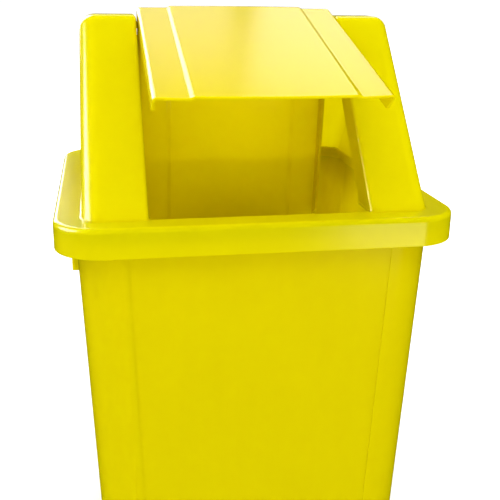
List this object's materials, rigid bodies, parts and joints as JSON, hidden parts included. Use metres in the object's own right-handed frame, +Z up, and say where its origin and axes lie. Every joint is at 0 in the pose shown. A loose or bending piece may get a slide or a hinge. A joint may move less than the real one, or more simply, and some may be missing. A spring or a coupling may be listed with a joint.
{
  "type": "waste bin",
  "caption": "Tapered plastic waste bin with a lift-off hooded lid and a two-way swing flap on side pivot pins, shown with the flap swung open.",
  "frame": {"origin": "centre of the underside of the base", "axes": "+Z up, -Y towards the front where the flap stands open, +X to the right seen from the front"},
  "size_m": [0.42, 0.456, 0.7106],
  "materials": {
    "body_plastic": "gloss moulded, yellow",
    "lid_plastic": "gloss moulded, yellow",
    "flap_plastic": "gloss moulded, yellow",
    "pin_plastic": "gloss moulded, yellow"
  },
  "bodies": {
    "bin": {"bin_body": "body_plastic"},
    "lid": {"lid_frame": "lid_plastic", "pivot_pin_left": "pin_plastic", "pivot_pin_right": "pin_plastic"},
    "flap": {"swing_flap": "flap_plastic"}
  },
  "joints": [
    {"name": "lid_lift", "type": "slide", "parent": "bin", "child": "lid", "axis": [0, 0, 1], "range_m": [0, 0.2]},
    {"name": "flap_swing", "type": "hinge", "parent": "lid", "child": "flap", "pos_m": [0, 0, 0.6895], "axis": [-1, 0, 0], "range_deg": [-109, 41]}
  ]
}
